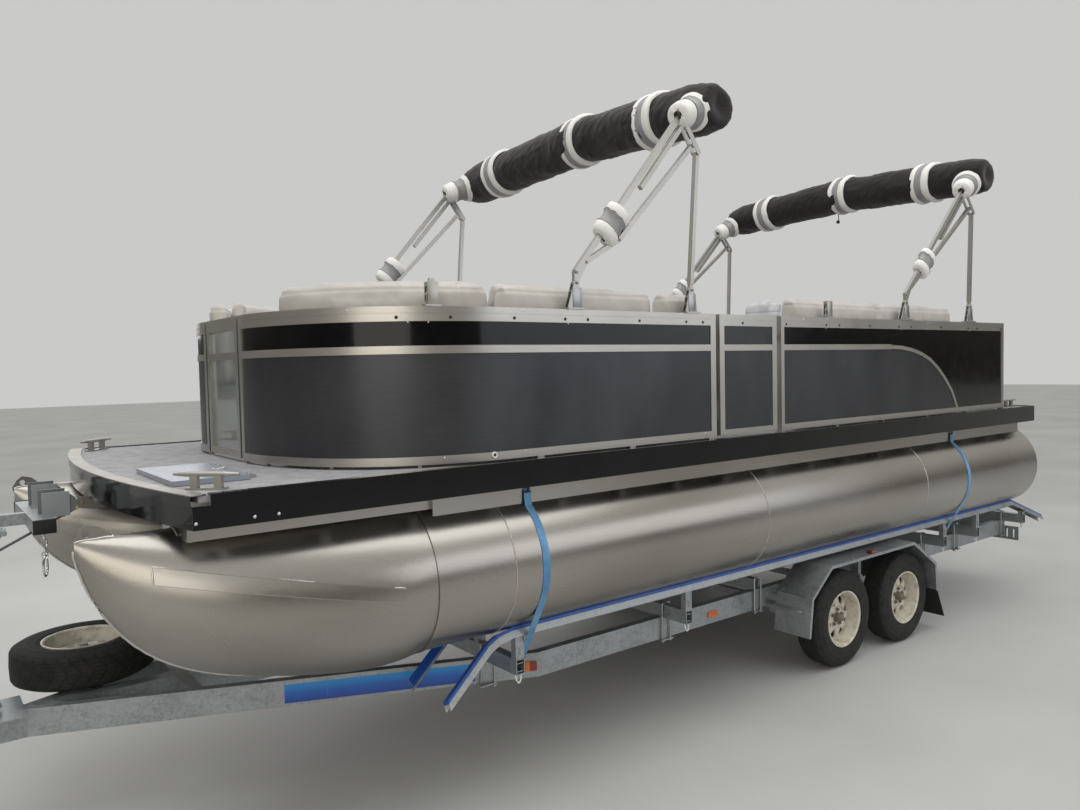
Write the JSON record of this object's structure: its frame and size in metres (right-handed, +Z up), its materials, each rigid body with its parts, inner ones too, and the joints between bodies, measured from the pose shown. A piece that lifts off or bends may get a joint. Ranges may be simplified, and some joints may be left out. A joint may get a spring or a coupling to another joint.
{
  "type": "pontoon boat on tandem trailer",
  "caption": "Pontoon boat with fenced deck, lounges and two folded sun tops, strapped down on its tandem-axle trailer that stands on a jockey wheel.",
  "frame": {"origin": "on the floor under the middle of the bounding box of boat and trailer", "axes": "+X forward to the bow and the coupling, +Y to port, +Z up"},
  "size_m": [9.11, 2.6344, 3.6652],
  "materials": {
    "tube_aluminium": "mill finish, lightly weathered",
    "frame_aluminium": "satin",
    "rail_aluminium": "satin anodised",
    "deck_vinyl": "mottled woven vinyl",
    "gloss_black": "gloss",
    "charcoal": "satin",
    "clear_sheet": "clear",
    "seat_shell": "satin",
    "seat_vinyl": "grained vinyl",
    "console_plastic": "satin gel coat",
    "dark_plastic": "satin",
    "black_canvas": "woven",
    "galvanised": "hot-dip galvanised",
    "blue_skid": "smooth",
    "rim_steel": "galvanised, yellowed",
    "tyre": "matte",
    "black_rubber": "matte",
    "lamp_lens": "gloss",
    "strap_webbing": "woven"
  },
  "bodies": {
    "hull_and_trailer": {"pontoon_port": "tube_aluminium", "pontoon_starboard": "tube_aluminium", "deck": "deck_vinyl", "deck_frame": "frame_aluminium", "bow_trim": "frame_aluminium", "skirts": "gloss_black", "deck_fittings": "frame_aluminium", "stern_box": "dark_plastic", "motor_pod": "frame_aluminium", "fence_port": "rail_aluminium", "fence_starboard": "rail_aluminium", "fence_stern": "rail_aluminium", "panels_lower": "charcoal", "panels_upper": "gloss_black", "seat_bases": "seat_shell", "seat_cushions": "seat_vinyl", "helm_console": "console_plastic", "bimini_brackets": "frame_aluminium", "chassis": "galvanised", "coupling": "galvanised", "winch_stand": "galvanised", "bow_stop": "black_rubber", "bunks": "galvanised", "bunk_skids": "blue_skid", "mudguards": "galvanised", "mudflaps": "black_rubber", "axles": "galvanised", "rim_spare": "rim_steel", "tyre_spare": "tyre", "lamps": "lamp_lens", "straps": "strap_webbing"},
    "wheel_front_port": {"rim_front_port": "rim_steel", "tyre_front_port": "tyre"},
    "wheel_rear_port": {"rim_rear_port": "rim_steel", "tyre_rear_port": "tyre"},
    "wheel_front_starboard": {"rim_front_starboard": "rim_steel", "tyre_front_starboard": "tyre"},
    "wheel_rear_starboard": {"rim_rear_starboard": "rim_steel", "tyre_rear_starboard": "tyre"},
    "jockey_tube": {"jockey_leg": "galvanised"},
    "jockey_swivel": {"jockey_fork": "galvanised"},
    "jockey_roller": {"jockey_wheel": "black_rubber"},
    "side_gate_leaf": {"side_gate": "rail_aluminium", "side_gate_lower": "charcoal", "side_gate_upper": "gloss_black"},
    "bow_gate_leaf": {"bow_gate": "rail_aluminium", "bow_gate_glass": "clear_sheet"},
    "stern_gate_leaf": {"stern_gate": "rail_aluminium", "stern_gate_panel": "charcoal"},
    "hatch": {"hatch_lid": "deck_vinyl"},
    "front_top": {"bimini_front_frame": "frame_aluminium", "bimini_front_boot": "black_canvas"},
    "front_top_props": {"bimini_front_props": "frame_aluminium"},
    "rear_top": {"bimini_rear_frame": "frame_aluminium", "bimini_rear_boot": "black_canvas"},
    "rear_top_props": {"bimini_rear_props": "frame_aluminium"},
    "helm_wheel": {"steering_wheel": "dark_plastic"},
    "helm_chair": {"helm_seat": "seat_vinyl"}
  },
  "joints": [
    {"name": "wheel_front_port_spin", "type": "hinge", "parent": "hull_and_trailer", "child": "wheel_front_port", "pos_m": [-1.275, 1.131, 0.32], "axis": [0, 1, 0], "continuous": true},
    {"name": "wheel_rear_port_spin", "type": "hinge", "parent": "hull_and_trailer", "child": "wheel_rear_port", "pos_m": [-2.045, 1.131, 0.32], "axis": [0, 1, 0], "continuous": true},
    {"name": "wheel_front_starboard_spin", "type": "hinge", "parent": "hull_and_trailer", "child": "wheel_front_starboard", "pos_m": [-1.275, -1.131, 0.32], "axis": [0, 1, 0], "continuous": true},
    {"name": "wheel_rear_starboard_spin", "type": "hinge", "parent": "hull_and_trailer", "child": "wheel_rear_starboard", "pos_m": [-2.045, -1.131, 0.32], "axis": [0, 1, 0], "continuous": true},
    {"name": "jockey_height", "type": "slide", "parent": "hull_and_trailer", "child": "jockey_tube", "axis": [0, 0, 1], "range_m": [0, 0.16]},
    {"name": "jockey_swivel_turn", "type": "hinge", "parent": "jockey_tube", "child": "jockey_swivel", "pos_m": [3.785, 0.0825, 0.3], "axis": [0, 0, 1], "continuous": true},
    {"name": "jockey_roll", "type": "hinge", "parent": "jockey_swivel", "child": "jockey_roller", "pos_m": [3.745, 0.0825, 0.1], "axis": [0, 1, 0], "continuous": true},
    {"name": "side_gate_swing", "type": "hinge", "parent": "hull_and_trailer", "child": "side_gate_leaf", "pos_m": [-0.0435, 1.17, 1.9], "axis": [0, 0, 1], "range_deg": [0, 90]},
    {"name": "bow_gate_swing", "type": "hinge", "parent": "hull_and_trailer", "child": "bow_gate_leaf", "pos_m": [2.278, -0.255, 1.9], "axis": [0, 0, 1], "range_deg": [0, 90]},
    {"name": "stern_gate_swing", "type": "hinge", "parent": "hull_and_trailer", "child": "stern_gate_leaf", "pos_m": [-3.568, -1.097, 1.9], "axis": [0, 0, 1], "range_deg": [-90, 0]},
    {"name": "hatch_swing", "type": "hinge", "parent": "hull_and_trailer", "child": "hatch", "pos_m": [2.483, 0.63, 1.614], "axis": [0, 1, 0], "range_deg": [-100, 0]},
    {"name": "front_top_fold", "type": "hinge", "parent": "hull_and_trailer", "child": "front_top", "pos_m": [0.982, 0, 2.435], "axis": [0, 1, 0], "range_deg": [0, 60]},
    {"name": "front_props_fold", "type": "hinge", "parent": "hull_and_trailer", "child": "front_top_props", "pos_m": [0.16, 0, 2.433], "axis": [0, 1, 0], "range_deg": [-60, 0]},
    {"name": "rear_top_fold", "type": "hinge", "parent": "hull_and_trailer", "child": "rear_top", "pos_m": [-2.088, 0, 2.435], "axis": [0, 1, 0], "range_deg": [0, 60]},
    {"name": "rear_props_fold", "type": "hinge", "parent": "hull_and_trailer", "child": "rear_top_props", "pos_m": [-3.04, 0, 2.433], "axis": [0, 1, 0], "range_deg": [-60, 0]},
    {"name": "steering_turn", "type": "hinge", "parent": "hull_and_trailer", "child": "helm_wheel", "pos_m": [-1.6752, -0.8, 2.2982], "axis": [-0.746, 0, 0.666], "range_deg": [-450, 450]},
    {"name": "helm_chair_swivel", "type": "hinge", "parent": "hull_and_trailer", "child": "helm_chair", "pos_m": [-2.535, -0.56, 1.97], "axis": [0, 0, 1], "continuous": true}
  ]
}
